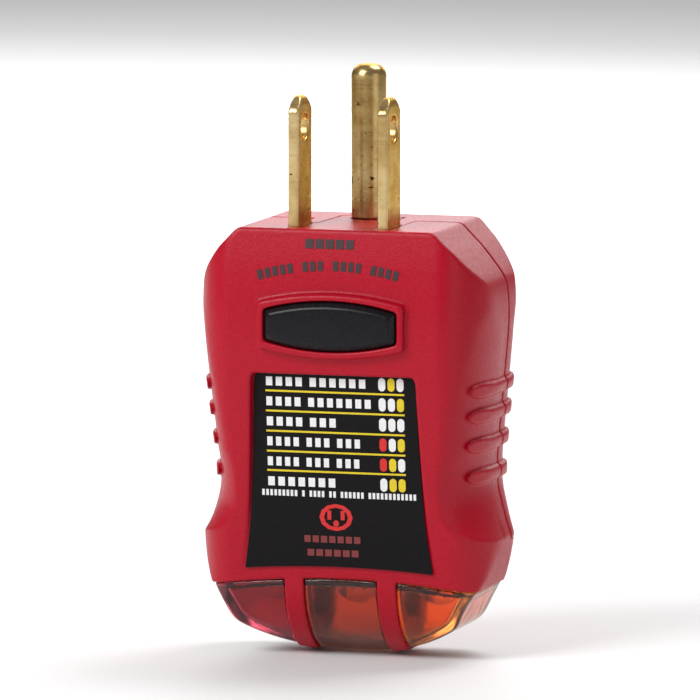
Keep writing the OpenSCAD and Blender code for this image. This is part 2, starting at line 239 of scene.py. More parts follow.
def barrel(x, z, w, h, end_h, k=0.5):
    """Shape with arched upper and lower edges."""
    r = arc_radius(w / 2, (h - end_h) / 2)
    upper = np.hypot(x, z - h / 2 + r) - r
    lower = np.hypot(x, z + h / 2 - r) - r
    return smooth_max(np.abs(x) - w / 2, np.maximum(upper, lower), k)


def block_outline():
    """The body seen from the front, without its waist."""
    corner = LOWER_LINE[-1]
    r = arc_radius(corner[0], BODY_H + corner[1])
    half = math.degrees(math.asin(corner[0] / r))
    side = np.concatenate([[(8, 5)], smooth_curve(SHOULDER_LINE), smooth_curve(LOWER_LINE)])
    bottom = arc((0, r - BODY_H), r, r, half - 90, -90 - half, 48)
    return np.concatenate([side, bottom[1:-1], mirrored(side)])


def waist_outline():
    """The waist seen from the front, run on above and below so that only its hollow cuts."""
    side = np.concatenate([[(21.4, 5)], smooth_curve(WAIST_LINE), [(24.5, -70)]])
    return np.concatenate([side, mirrored(side)])


def side_view_outline():
    """The body seen from the side; the bottom is two quarter ellipses."""
    h = BODY_H + FRONT_LINE[-1][1]
    centre = (BOTTOM_MID_Y, -BODY_H + h)
    front = np.concatenate([[(-4.9, 5)], smooth_curve(FRONT_LINE)])
    front_round = arc(centre, BOTTOM_MID_Y - FRONT_LINE[-1][0], h, 180, 270)
    back_round = arc(centre, BACK_LINE[-1][0] - BOTTOM_MID_Y, h, 270, 360)
    back = smooth_curve(BACK_LINE[::-1])
    return np.concatenate([front, front_round[1:], back_round[1:-1], back, [(BACK_Y, 5)]])


BLOCK_VIEW = Outline(block_outline())
WAIST_VIEW = Outline(waist_outline())
SIDE_VIEW = Outline(side_view_outline())
FRONT_CORNER = (7.0, 13.0)
LOW_FRONT_CORNER = (6.0, 9.0)
BACK_CORNER = (8.5, 8.0)
WAIST_FRONT = (5.0, 13.0)
LOW_WAIST_FRONT = (9.5, 13.0)
WAIST_STEP = 1.5
WAIST_END_Z = -37.8
WAIST_END_RISE = 0.062
# where one shape turns into the next: the first value is the start and the second the end
LOW_CORNER_Z = (-32, -41)
LOW_WAIST_Z = (-31, -39)
BACK_CORNER_Y = (7, 12)
WAIST_END_Y = (-2, 6)
WAIST_BACK = (6.5, 8.0)


def share(value, span):
    """How far a value is from the start of a span to its end, between 0 and 1."""
    return np.clip((value - span[0]) / (span[1] - span[0]), 0, 1)


def rounded_sides(sides, y, z, front, back, proud=0.0):
    """The side view with its corners rounded into the sides, the reach changing from front to back."""
    t = share(y, BACK_CORNER_Y)
    t = t * t * (3 - 2 * t)
    return round_corner(sides, SIDE_VIEW(y, z) - proud * (1 - t), front[0] + t * (back[0] - front[0]),
                        front[1] + t * (back[1] - front[1]))


def towards(high, low, t):
    """The values a share t of the way from the first list to the second."""
    return [a + t * (b - a) for a, b in zip(high, low)]


def depth_field(x, y, z):
    """The body's side view with its corners rounded into flat sides."""
    front = towards(FRONT_CORNER, LOW_FRONT_CORNER, share(z, LOW_CORNER_Z))
    return rounded_sides(np.abs(x) - BULGE_W, y, z, front, BACK_CORNER)


def waist_field(x, y, z):
    """The hollow of the waist; towards its lower end it meets the front face at an edge."""
    t = share(z, LOW_WAIST_Z)
    front = towards(WAIST_FRONT, LOW_WAIST_FRONT, t)
    rise = WAIST_END_RISE * np.maximum(WAIST_END_Z - z, 0)**2 * (1 - share(y, WAIST_END_Y))
    sides = WAIST_VIEW(np.abs(x), z) - rise
    return rounded_sides(sides, y, z, front, WAIST_BACK, WAIST_STEP * t)


def body_field(x, y, z):
    body = smooth_max(depth_field(x, y, z), BLOCK_VIEW(np.abs(x), z), 0.5)
    body = smooth_max(body, waist_field(x, y, z), 0.2)
    return smooth_max(body, z, 0.5)


def grip_field(x, y, z):
    """The round bars across the waist, cut off a little above its surface."""
    line = np.array(WAIST_LINE)[::-1]
    bars = 1e3
    for height in GRIP_HEIGHTS:
        middle = np.interp(height, line[:, 1], line[:, 0]) + GRIP_PROUD - GRIP_R
        bars = np.minimum(bars, np.hypot(np.abs(x) - middle, z - height) - GRIP_R)
    return smooth_max(bars, waist_field(x, y, z) - GRIP_PROUD, 0.5)


def lens_zone(x, z):
    """Distance to the space below the lenses' upper edge."""
    return np.hypot(x, z - LENS_TOP_Z + LENS_EDGE_R) - LENS_EDGE_R


def ribs_field(x):
    return np.abs(np.abs(x) - RIB_X) - RIB_W / 2


def label_plane(y, z):
    """Distance in front of the label's leaning plane, and the place on it, down from its top."""
    dy, dz = y - LABEL_TOP_Y, z - LABEL_TOP_Z
    c, s = math.cos(LABEL_TILT), math.sin(LABEL_TILT)
    return -(dy * c + dz * s), dy * s - dz * c


def label_outline(steps=8):
    side = smooth_curve([(LABEL_TOP_HALF, 0), (11.95, -0.45 * LABEL_H), (12.5, -0.75 * LABEL_H),
                         (LABEL_LOW_HALF, -LABEL_H)], steps)
    r = arc_radius(LABEL_LOW_HALF, LABEL_ARCH)
    half = math.degrees(math.asin(LABEL_LOW_HALF / r))
    low = arc((0, LABEL_ARCH - LABEL_H - r), r, r, 90 - half, 90 + half, 24)
    return np.concatenate([side[:-1], low, mirrored(side[:-1])])


LABEL = Outline(label_outline(), pitch=0.2)


def label_shape(x, down):
    """The label's outline with small round corners at its top."""
    return smooth_max(LABEL(x, -down), -down, 1.6)


def rods_y(x, z, places, r):
    """Distance to rods along Y at mirrored places."""
    near = 1e3
    for px, pz in places:
        near = np.minimum(near, np.hypot(np.abs(x) - px, z - pz) - r)
    return near


def housing_field(x, y, z):
    """Both shells as one, with the ribs but without the lenses."""
    body = body_field(x, y, z)
    outer = smooth_min(body, grip_field(x, y, z), 0.3)
    shell = smooth_max(outer, -(body + WALL), 0.3)
    window = smooth_max(lens_zone(x, z), -ribs_field(x), 0.2)
    shell = smooth_max(shell, -window, 0.25)
    web = smooth_max(smooth_max(body, -(body + 2.2 * WALL), 0.3), ribs_field(x), 0.35)
    web = np.maximum(web, z - LENS_TOP_Z - WALL)
    return smooth_min(shell, web, 0.15)


def tab_field(x, y, z, grow=0.0):
    """The rear shell's tabs, which close the blades' slots."""
    middle, half_w = BLADE_X - 0.3, 1.2
    low = (middle - half_w - grow, TAB_Y - grow, -WALL - grow)
    high = (middle + half_w + grow, PARTING_Y + WALL, 2.0)
    return box_field(np.abs(x), y, z, low, high, 0.1)


def tongue_field(x, y, z, grow=0.0):
    """The front shell's tongue, which carries the grounding pin."""
    return box_field(x, y, z, (-TONGUE_HALF_W - grow, PARTING_Y - WALL, -WALL - grow),
                     (TONGUE_HALF_W + grow, TONGUE_Y + grow, 2.0), 0.6)


def slots_field(x, y, z):
    """The blades' slots and the stepped hole of the grounding pin."""
    slots = box_field(np.abs(x), y, z, (BLADE_X - BLADE_T / 2 - SEAM, -BLADE_W / 2 - SEAM, -8.0),
                      (BLADE_X + BLADE_T / 2 + SEAM, BLADE_W / 2 + SEAM, 1.0), 0.1)
    across = np.hypot(x, y - PIN_Y)
    hole = np.minimum(np.maximum(across - NECK_R - SEAM, -7.0 - z),
                      smooth_max(across - PIN_R - SEAM, -0.5 - z, 0.1))
    return np.minimum(slots, hole)


def parting_field(x, y, z):
    """Distance behind the joint of the shells; below the waist the front shell wraps round the sides.

    The wrap's distance is stretched, so that its edges are sharper and its gap is finer.
    """
    wrap = WRAP_SHARPNESS * np.maximum(np.maximum(y - WRAP_Y, z - WRAP_Z), WRAP_X - np.abs(x))
    return np.minimum(y - PARTING_Y, wrap)


def front_housing_field(x, y, z):
    """Front shell: tongue, label backing, bosses and posts, then the rim and every opening."""
    body = body_field(x, y, z)
    shell = smooth_max(housing_field(x, y, z), parting_field(x, y, z), PARTING_EDGE_R)
    tongue = smooth_max(tongue_field(x, y, z), body, 0.22)
    shell = smooth_min(shell, tongue, 0.05)
    ahead, down = label_plane(y, z)
    backing = np.maximum(np.maximum(LABEL(x, -down), -ahead - 2.0), body)
    shell = np.minimum(shell, backing)
    rods = np.minimum(np.maximum(rods_y(x, z, SCREWS, SCREW_BOSS_R), y - PARTING_Y),
                      np.maximum(rods_y(x, z, POSTS, POST_R), y - BOARD_Y + SEAM))
    shell = smooth_min(shell, np.maximum(rods, body + 0.5), 0.2)
    wide = [s + 2 * RIM_WALL for s in BUTTON]
    rim = smooth_max(barrel(x, z - BUTTON_Z, *wide), slab(y, FRONT_Y - RIM_PROUD, FRONT_Y + WALL), 0.6)
    shell = smooth_min(shell, rim, 0.35)
    opening = np.maximum(barrel(x, z - BUTTON_Z, *[s + 0.24 for s in BUTTON]), y - 0.0)
    shell = smooth_max(shell, -opening, 0.35)
    recess = smooth_max(label_shape(x, down) - 0.25, -ahead, 0.15)
    shell = smooth_max(shell, -recess, 0.45)
    shell = smooth_max(shell, -tab_field(x, y, z, SEAM), 0.2)
    shell = smooth_max(shell, -slots_field(x, y, z), 0.2)
    screws = np.maximum(rods_y(x, z, SCREWS, SCREW_SHANK_R), 0.5 - y)
    return smooth_max(shell, -screws, 0.1)


def rear_housing_field(x, y, z):
    """Rear shell: tabs, bosses and posts, then the tongue's notch and the screws' holes."""
    body = body_field(x, y, z)
    shell = smooth_max(housing_field(x, y, z), PARTING_GAP - parting_field(x, y, z), PARTING_EDGE_R)
    shell = smooth_min(shell, smooth_max(tab_field(x, y, z), body, 0.22), 0.05)
    rods = np.minimum(np.maximum(rods_y(x, z, SCREWS, SCREW_BOSS_R), PARTING_Y + SEAM - y),
                      np.maximum(rods_y(x, z, POSTS, POST_R), BOARD_Y + BOARD_T + SEAM - y))
    shell = smooth_min(shell, np.maximum(rods, body + 0.5), 0.2)
    shell = smooth_max(shell, -tongue_field(x, y, z, PARTING_GAP), 0.2)
    shell = smooth_max(shell, -slots_field(x, y, z), 0.2)
    shank = rods_y(x, z, SCREWS, SCREW_SHANK_R)
    head = np.maximum(rods_y(x, z, SCREWS, SCREW_HEAD_R), BACK_Y - SCREW_HEAD_H - y)
    return smooth_max(shell, -np.minimum(shank, head), 0.3)


def lens_field(x, y, z, x0, x1):
    """Lens between two planes, with a ledge and a lip that go up behind the shell's wall."""
    body = body_field(x, y, z)
    zone = lens_zone(x, z) + SEAM
    outer = smooth_max(smooth_max(body + LENS_SUNK, -(body + LENS_SUNK + LENS_T), 0.2), zone, 0.25)
    back = -WALL - SEAM - LIP_T
    lip = smooth_max(slab(body, back, -WALL - SEAM), slab(lens_zone(x, z), -LIP_LOW, LIP_H), 0.1)
    ledge = smooth_max(slab(body, back, -LENS_SUNK - 0.5), slab(lens_zone(x, z), -LIP_LOW, -0.2), 0.1)
    joined = smooth_min(outer, np.minimum(lip, ledge), 0.1)
    return smooth_max(joined, slab(x, x0, x1), 0.3)


def button_field(x, y, z):
    """Barrel with a chamfered crown, a flange behind the front wall and a stem."""
    face = FRONT_Y - RIM_PROUD - BUTTON_PROUD
    sides = barrel(x, z - BUTTON_Z, *BUTTON, 0.4)
    crown = face + 0.0016 * x * x + 0.006 * (z - BUTTON_Z)**2 - y
    bevel = (sides + crown + 0.75) * math.sqrt(0.5)
    cap = smooth_max(smooth_max(sides, crown, 0.2), bevel, 0.22)
    cap = smooth_max(cap, y + 3.9, 0.1)
    flange = smooth_max(barrel(x, z - BUTTON_Z, *[s + 2.2 for s in BUTTON]), slab(y, -4.0, -2.8), 0.2)
    stem = box_field(x, y, z, (-1.8, -4.0, BUTTON_Z - 1.4), (1.8, 1.5, BUTTON_Z + 1.4), 0.3)
    return np.minimum(np.minimum(cap, flange), stem)


def blade_field(x, y, z):
    """Flat blade about its own middle plane, its tip bevelled on every side."""
    plate = smooth_max(slab(x, -BLADE_T / 2, BLADE_T / 2), slab(y, -BLADE_W / 2, BLADE_W / 2), 0.3)
    plate = smooth_max(plate, slab(z, TAIL_Z, BLADE_LEN), 0.3)
    corner = (0.67 * np.abs(y) + 0.74 * (z - BLADE_LEN)) - 0.67 * (BLADE_W / 2 - 2.0)
    plate = smooth_max(plate, corner, 0.4)
    edge = (0.9 * np.abs(x) + 0.44 * (z - BLADE_LEN)) - 0.9 * (BLADE_T / 2 - 0.32)
    plate = smooth_max(plate, edge, 0.3)
    wing = box_field(x, y, z, (-BLADE_T / 2, 0, -4.5), (BLADE_T / 2, BLADE_W / 2 + 1.6, -2.1), 0.2)
    plate = np.minimum(plate, wing)
    hole = np.hypot(y, z - BLADE_HOLE_Z) - BLADE_HOLE_R
    return smooth_max(plate, -hole, 0.3)


def pin_field(x, y, z):
    """Round pin with a domed tip, a neck through the plug face, a collar and a tail."""
    across = np.hypot(x, y)
    tip = np.hypot(np.maximum(across - PIN_R + PIN_TIP_R, 0),
                   np.maximum(z - PIN_LEN + PIN_TIP_R, 0)) - PIN_TIP_R
    pin = smooth_max(np.where(z > PIN_LEN - PIN_TIP_R, tip, across - PIN_R), -z, 0.2)
    neck = np.maximum(across - NECK_R, slab(z, -2.2, 0.3))
    collar = smooth_max(across - COLLAR_R, slab(z, -3.7, -2.1), 0.2)
    tail = smooth_max(across - TAIL_R, slab(z, TAIL_Z, -3.0), 0.2)
    return np.minimum(np.minimum(pin, neck), np.minimum(collar, tail))


# ---------------------------------------------------------------- meshes from fields
def surface_net(field, low, high, pitch):
    """Vertices and quads of a field's zero surface: one vertex in each cell that it crosses."""
    low = np.array(low, float)
    count = np.ceil((np.array(high) - low) / pitch).astype(int) + 1
    axes = [low[a] + pitch * np.arange(count[a]) for a in range(3)]
    grid = np.broadcast_to(field(axes[0][:, None, None], axes[1][None, :, None],
                                 axes[2][None, None, :]), count).astype(np.float32)
    inside = grid < 0
    filled = sum(inside[a:count[0] - 1 + a, b:count[1] - 1 + b, c:count[2] - 1 + c].astype(np.int8)
                 for a in (0, 1) for b in (0, 1) for c in (0, 1))
    cells = np.argwhere((filled > 0) & (filled < 8))
    index = np.full(count - 1, -1, np.int64)
    index[tuple(cells.T)] = np.arange(len(cells))
    offsets = [(a, b, c) for a in (0, 1) for b in (0, 1) for c in (0, 1)]
    corner = {o: grid[tuple((cells + o).T)] for o in offsets}
    total = np.zeros((len(cells), 3))
    hits = np.zeros(len(cells))
    for o in offsets:
        for axis in range(3):
            if o[axis]:
                continue
            far = tuple(o[a] + (a == axis) for a in range(3))
            f0, f1 = corner[o], corner[far]
            mixed = (f0 < 0) != (f1 < 0)
            t = np.where(mixed, f0 / np.where(mixed, f0 - f1, 1), 0)
            point = np.array(o, float) + t[:, None] * np.eye(3)[axis]
            total += point * mixed[:, None]
            hits += mixed
    verts = low + pitch * (cells + total / hits[:, None])
    quads = []
    for axis in range(3):
        b, c = (axis + 1) % 3, (axis + 2) % 3
        head = [slice(None)] * 3
        tail = [slice(None)] * 3
        head[axis], tail[axis] = slice(None, -1), slice(1, None)
        a_in, b_in = inside[tuple(head)], inside[tuple(tail)]
        edges = np.argwhere(a_in != b_in)
        edges = edges[(edges[:, b] > 0) & (edges[:, c] > 0)
                      & (edges[:, b] < count[b] - 1) & (edges[:, c] < count[c] - 1)]
        step_b, step_c = np.eye(3, dtype=int)[b], np.eye(3, dtype=int)[c]
        ring = [edges - step_b - step_c, edges - step_c, edges, edges - step_b]
        quad = np.stack([index[tuple(r.T)] for r in ring], -1)
        outward = a_in[tuple(edges.T)]
        quads.append(np.where(outward[:, None], quad, quad[:, ::-1]))
    return verts, np.concatenate(quads)


def settle(field, verts, pitch, passes=3, eps=0.02):
    """Moves vertices onto the field's zero surface along its gradient."""
    v = verts.copy()
    for _ in range(passes):
        value = field(v[:, 0], v[:, 1], v[:, 2])
        gradient = np.zeros_like(v)
        for a in range(3):
            step = eps * np.eye(3)[a]
            ahead, behind = v + step, v - step
            gradient[:, a] = (field(*ahead.T) - field(*behind.T)) / (2 * eps)
        size = np.maximum((gradient**2).sum(1), 0.05)
        move = -(value / size)[:, None] * gradient
        length = np.linalg.norm(move, axis=1, keepdims=True)
        v += move * np.minimum(1, 0.5 * pitch / np.maximum(length, 1e-9))
    return v


def make_object(name, verts_mm, faces, material, smooth=True):
    """Mesh object from vertices in millimetres and faces that all have the same number of sides."""
    mesh = bpy.data.meshes.new(name)
    faces = np.asarray(faces, np.int32)
    sides = faces.shape[1]
    mesh.vertices.add(len(verts_mm))
    mesh.vertices.foreach_set("co", (np.asarray(verts_mm) * MM).astype(np.float32).ravel())
    mesh.loops.add(faces.size)
    mesh.loops.foreach_set("vertex_index", faces.ravel())
    mesh.polygons.add(len(faces))
    mesh.polygons.foreach_set("loop_start", np.arange(0, faces.size, sides, dtype=np.int32))
    mesh.polygons.foreach_set("use_smooth", np.full(len(faces), smooth))
    mesh.update(calc_edges=True)
    mesh.validate()
    mesh.materials.append(material)
    piece = bpy.data.objects.new(name, mesh)
    bpy.context.scene.collection.objects.link(piece)
    return piece


def carve(name, field, low, high, pitch, material):
    verts, quads = surface_net(field, low, high, pitch)
    verts = settle(field, verts, pitch)
    return make_object(name, verts, quads, material)


def stand_for(piece, body, slot, *nodes):
    """The piece rides on a body in place of CAD nodes."""
    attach(piece, body)
    if nodes:
        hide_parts(*nodes)
    return piece


# ---------------------------------------------------------------- materials
def new_material(name, color, roughness, **sockets):
    """Principled material, its even values set on the shader's own sockets."""
    material = bpy.data.materials.new(name)
    material.use_nodes = True
    shader = material.node_tree.nodes["Principled BSDF"]
    shader.inputs["Base Color"].default_value = (*color, 1)
    shader.inputs["Roughness"].default_value = roughness
    for key, value in sockets.items():
        shader.inputs[key.replace("_", " ")].default_value = value
    return material, shader


def noise(material, scale, detail=4.0, stretch=None):
    """Noise over the object's own coordinates, its scale in cells per metre."""
    nodes, links = material.node_tree.nodes, material.node_tree.links
    place = nodes.new("ShaderNodeTexCoord")
    texture = nodes.new("ShaderNodeTexNoise")
    texture.inputs["Scale"].default_value = scale
    texture.inputs["Detail"].default_value = detail
    source = place.outputs["Object"]
    if stretch:
        mapping = nodes.new("ShaderNodeMapping")
        mapping.inputs["Scale"].default_value = stretch
        links.new(source, mapping.inputs["Vector"])
        source = mapping.outputs["Vector"]
    links.new(source, texture.inputs["Vector"])
    return texture.outputs["Fac"]


def ramp(material, source, stops):
    """Colour ramp; each stop is (place, colour or grey)."""
    node = material.node_tree.nodes.new("ShaderNodeValToRGB")
    while len(node.color_ramp.elements) < len(stops):
        node.color_ramp.elements.new(0.5)
    for element, (place, color) in zip(node.color_ramp.elements, stops):
        element.position = place
        element.color = (*color, 1) if hasattr(color, "__len__") else (color, color, color, 1)
    material.node_tree.links.new(source, node.inputs["Fac"])
    return node.outputs["Color"]


def bump(material, shader, source, distance_mm, strength=1.0, after=None):
    node = material.node_tree.nodes.new("ShaderNodeBump")
    node.inputs["Strength"].default_value = strength
    node.inputs["Distance"].default_value = distance_mm * MM
    material.node_tree.links.new(source, node.inputs["Height"])
    if after is not None:
        material.node_tree.links.new(after, node.inputs["Normal"])
    material.node_tree.links.new(node.outputs["Normal"], shader.inputs["Normal"])
    return node.outputs["Normal"]


def moulded(name, dark, light, roughness, grain_mm=0.01, **sockets):
    """Moulded plastic: a faint mottle in its colour, a fine spark-eroded grain and uneven gloss."""
    material, shader = new_material(name, light, roughness, **sockets)
    links = material.node_tree.links
    mottle = noise(material, 2600, 4)
    links.new(ramp(material, mottle, [(0.35, dark), (0.65, light)]), shader.inputs["Base Color"])
    gloss = noise(material, 1800, 3)
    links.new(ramp(material, gloss, [(0.3, roughness - 0.05), (0.7, roughness + 0.06)]),
              shader.inputs["Roughness"])
    bump(material, shader, noise(material, 3600, 2), grain_mm)
    return material


def plain(name, color, roughness, mottle=0.12, grain_mm=0.004, scale=1500, **sockets):
    """Even material with a slight unevenness of colour and surface."""
    dark = tuple(c * (1 - mottle) for c in color)
    light = tuple(min(1.0, c * (1 + mottle)) for c in color)
    material, shader = new_material(name, color, roughness, **sockets)
    spots = noise(material, scale, 4)
    material.node_tree.links.new(ramp(material, spots, [(0.35, dark), (0.65, light)]),
                                 shader.inputs["Base Color"])
    bump(material, shader, noise(material, 3 * scale, 3), grain_mm)
    return material


def worn_brass(name, shade):
    """Brass with fine milling marks across its length, small dark pits and uneven gloss; shade scales all
    its colours down, as painted shade.
    """
    material, shader = new_material(name, (0.80, 0.60, 0.30), 0.28, Metallic=1.0,
                                    Specular_Tint=(0.90, 0.66, 0.34, 1.0))
    links = material.node_tree.links
    milled = noise(material, 160, 5, (1.0, 1.0, 14.0))
    pits = noise(material, 1300, 3)
    stops = [(0.3, (0.50, 0.32, 0.11)), (0.55, (0.76, 0.55, 0.25)), (0.8, (0.86, 0.68, 0.37))]
    tone = ramp(material, noise(material, 260, 5),
                [(place, [c * shade for c in color]) for place, color in stops])
    spots = ramp(material, pits, [(0.28, (0.10, 0.06, 0.03)), (0.34, (1.0, 1.0, 1.0))])
    mix = material.node_tree.nodes.new("ShaderNodeMixRGB")
    mix.blend_type = "MULTIPLY"
    mix.inputs["Fac"].default_value = 1.0
    links.new(tone, mix.inputs["Color1"])
    links.new(spots, mix.inputs["Color2"])
    links.new(mix.outputs["Color"], shader.inputs["Base Color"])
    links.new(ramp(material, milled, [(0.3, 0.22), (0.7, 0.42)]), shader.inputs["Roughness"])
    first = bump(material, shader, milled, 0.012, 0.6)
    bump(material, shader, pits, 0.02, 0.5, after=first)
    return material


def lens_plastic(name, color, roughness=0.14):
    """Clear tinted plastic whose surface is a little uneven."""
    material, shader = new_material(name, color, roughness, Transmission_Weight=1.0, IOR=1.5)
    bump(material, shader, noise(material, 380, 3), 0.12, 0.8)
    return material


RED = moulded("red_abs", (0.39, 0.001, 0.013), (0.44, 0.002, 0.019), 0.36, 0.03,
              Specular_IOR_Level=0.25)
BLACK = moulded("black_button", (0.004, 0.003, 0.005), (0.007, 0.006, 0.008), 0.28, 0.003,
                Specular_IOR_Level=0.22)
FILM = moulded("label_film", (0.003, 0.002, 0.003), (0.005, 0.004, 0.005), 0.5, 0.003,
               Specular_IOR_Level=0.16)
AMBER = lens_plastic("amber_lens", (0.95, 0.27, 0.06))
# the middle lens is the same amber plastic as the right one; its darker, browner colour is painted shade
SHADED_AMBER = lens_plastic("amber_lens_painted_shade", (0.62, 0.16, 0.08))
RUBY = lens_plastic("red_lens", (0.46, 0.05, 0.08))
BRASS = worn_brass("brass_blade", 1.0)
# the pin is the blades' brass painted at 0.8 of its brightness: painted shade
PIN_BRASS = worn_brass("brass_pin", 0.8)
WHITE_INK = plain("white_ink", (0.80, 0.80, 0.80), 0.5, 0.04)
YELLOW_INK = plain("yellow_ink", (0.74, 0.56, 0.01), 0.5, 0.05)
RED_INK = plain("red_ink", (0.62, 0.012, 0.012), 0.5, 0.05)
DULL_INK = plain("dull_red_ink", (0.20, 0.025, 0.025), 0.55, 0.05)
DARK_INK = plain("dark_ink", (0.030, 0.012, 0.016), 0.5, 0.1)
LAMINATE = plain("board_laminate", (0.40, 0.29, 0.12), 0.5, 0.15)
CERAMIC = plain("resistor_body", (0.62, 0.50, 0.32), 0.5, 0.08)
SPRING = plain("spring_bronze", (0.70, 0.45, 0.22), 0.3, 0.08, Metallic=1.0)
TINNED = plain("tinned_lead", (0.72, 0.70, 0.66), 0.35, 0.06, Metallic=1.0)
STEEL = plain("screw_steel", (0.55, 0.56, 0.58), 0.32, 0.06, Metallic=1.0)
GLASS = new_material("lamp_glass", (0.97, 0.97, 0.97), 0.03, Transmission_Weight=1.0, IOR=1.45)[0]
BLACK_PVC = plain("black_insulation", (0.02, 0.02, 0.02), 0.45)
WHITE_PVC = plain("white_insulation", (0.72, 0.72, 0.70), 0.45)
GREEN_PVC = plain("green_insulation", (0.03, 0.25, 0.06), 0.45)

# ---------------------------------------------------------------- pieces
LOW = (-21.6, -8.6, -59.4)
HIGH = (21.6, 20.0, 1.2)
PITCH = 0.25
front = carve("front_shell", front_housing_field, LOW, (21.6, 15.6, 1.2), PITCH, RED)
stand_for(front, "tester", "housing", "front_housing")
rear = carve("rear_shell", rear_housing_field, (-21.6, 3.2, -59.4), HIGH, PITCH, RED)
stand_for(rear, "tester", "housing", "rear_housing")

rib_out = RIB_X + RIB_W / 2 + SEAM
rib_in = RIB_X - RIB_W / 2 - SEAM
for name, node, x0, x1, material, slot in [
        ("left_lens", "lens_left", -21.5, -rib_out, RUBY, "lens_red"),
        ("middle_lens", "lens_centre", -rib_in, rib_in, SHADED_AMBER, "lens_amber"),
        ("right_lens", "lens_right", rib_out, 21.5, AMBER, "lens_amber")]:
    piece = carve(name, lambda x, y, z: lens_field(x, y, z, x0, x1),
                  (x0 - 0.6, -3.6, -59.4), (x1 + 0.6, 17.6, -44.5), PITCH, material)
    stand_for(piece, "tester", slot, node)

FINE = 0.16
button = carve("button_cap", button_field, (-11.2, -8.6, -18.4), (11.2, 2.0, -7.8), FINE, BLACK)
stand_for(button, "button", "button", "test_button")
for name, node, side in (("left_blade", "neutral_blade", -1), ("right_blade", "hot_blade", 1)):
    blade = carve(name, lambda x, y, z: blade_field(x - side * BLADE_X, y, z),
                  (side * BLADE_X - 1.2, -3.6, -7.4), (side * BLADE_X + 1.2, 5.2, 18.2), FINE, BRASS)
    stand_for(blade, "tester", "prong_brass", node)
pin = carve("round_pin", lambda x, y, z: pin_field(x, y - PIN_Y, z),
            (-3.6, PIN_Y - 3.6, -7.4), (3.6, PIN_Y + 3.6, 22.0), FINE, PIN_BRASS)
stand_for(pin, "tester", "prong_brass", "ground_pin")


# ---------------------------------------------------------------- label and marks
def on_label(x, down, out):
    c, s = math.cos(LABEL_TILT), math.sin(LABEL_TILT)
    return x, LABEL_TOP_Y + down * s - out * c, LABEL_TOP_Z - down * c - out * s


def on_front(x, down, out):
    """Place on the front of the housing at a height below the plug face, moved out along the normal."""
    line = smooth_curve(FRONT_LINE)[::-1]
    y = np.interp(-down, line[:, 1], line[:, 0])
    return x, y - out, -down


def prisms(name, shapes, surface, low, high, material):
    """Raised marks: each shape is a convex outline of (x, down) points, laid on a surface."""
    verts, faces = [], []
    for shape in shapes:
        n, first = len(shape), len(verts)
        verts += [surface(x, down, low) for x, down in shape]
        verts += [surface(x, down, high) for x, down in shape]
        faces.append([first + n + i for i in range(n)])
        faces.append([first + n - 1 - i for i in range(n)])
        faces += [[first + i, first + (i + 1) % n, first + n + (i + 1) % n, first + n + i]
                  for i in range(n)]
    mesh = bpy.data.meshes.new(name)
    mesh.from_pydata([tuple(c * MM for c in v) for v in verts], [], faces)
    mesh.update()
    mesh.materials.append(material)
    piece = bpy.data.objects.new(name, mesh)
    bpy.context.scene.collection.objects.link(piece)
    return piece


def bar(x0, x1, down0, down1):
    return [(x0, down1), (x1, down1), (x1, down0), (x0, down0)]


def pill(x, down, w, h, n=8):
    """Upright rounded bar about a middle."""
    r, half = w / 2, h / 2 - w / 2
    lower = [(x + r * math.cos(a), down + half + r * math.sin(a))
             for a in np.linspace(math.pi, 0, n)]
    upper = [(x + r * math.cos(a), down - half + r * math.sin(a))
             for a in np.linspace(0, -math.pi, n)]
    return lower + upper


def word_blocks(x0, x1, down, height, words, gap=0.28, space=0.9):
    """A line of small upright blocks in groups, standing for a line of print."""
    count = sum(words)
    room = x1 - x0 - space * (len(words) - 1) - gap * (count - len(words))
    w = room / count
    shapes, x = [], x0
    for word in words:
        for _ in range(word):
            shapes.append(bar(x, x + w, down - height / 2, down + height / 2))
            x += w + gap
        x += space - gap
    return shapes


def label_down(z):
    """Distance down the label's plane to a height."""
    return (LABEL_TOP_Z - z) / math.cos(LABEL_TILT)


def label_face():
    """The label's outline as (x, down), its two upper corners rounded."""
    points = [(x, -z) for x, z in label_outline(6)[1:]]
    r = LABEL_CORNER_R
    corner = [(LABEL_TOP_HALF - r + r * math.cos(a), r - r * math.sin(a))
              for a in np.linspace(math.pi / 2, 0, 7)]
    first = next(i for i, p in enumerate(points) if p[0] > 0 and p[1] > r + 0.2)
    last = max(i for i, p in enumerate(points) if p[0] < 0 and p[1] > r + 0.2)
    other = [(-x, down) for x, down in corner[::-1]]
    return (corner + points[first:last + 1] + other)[::-1]


stand_for(prisms("printed_label", [label_face()], on_label, -0.02, 0.2, FILM),
          "tester", "label", "front_label")

# six rows: where each line of blocks ends and its groups, and the lamps' colours at its right
ROWS = [label_down(-21.06 - 2.79 * n) for n in range(6)]
RULES = [label_down(z) for z in (-22.4, -25.2, -28.0, -30.8, -33.5)]
LINES = [(4.4, (4, 6)), (5.1, (4, 7)), (0.05, (4, 3)), (3.45, (4, 3, 3)), (3.3, (4, 3, 3)), (-0.2, (7,))]
LAMP_CODES = ("WYW", "WWY", "WWW", "RWY", "RYW", "WYY")
LAMP_CODE_X = (6.74, 8.06, 9.34)
white = []
for down, (end, words) in zip(ROWS, LINES):
    white += word_blocks(-9.8, end, down, 1.25, words, 0.5, 1.1)
white += word_blocks(-10.7, 11.3, label_down(-36.6), 0.85, (9, 1, 4, 2, 6, 12), 0.22, 0.7)
yellow = [bar(-9.9, 9.9, down - 0.13, down + 0.13) for down in RULES]
red = []
for down, code in zip(ROWS, LAMP_CODES):
    for x, letter in zip(LAMP_CODE_X, code):
        {"W": white, "Y": yellow, "R": red}[letter].append(pill(x, down, 1.0, 1.85))
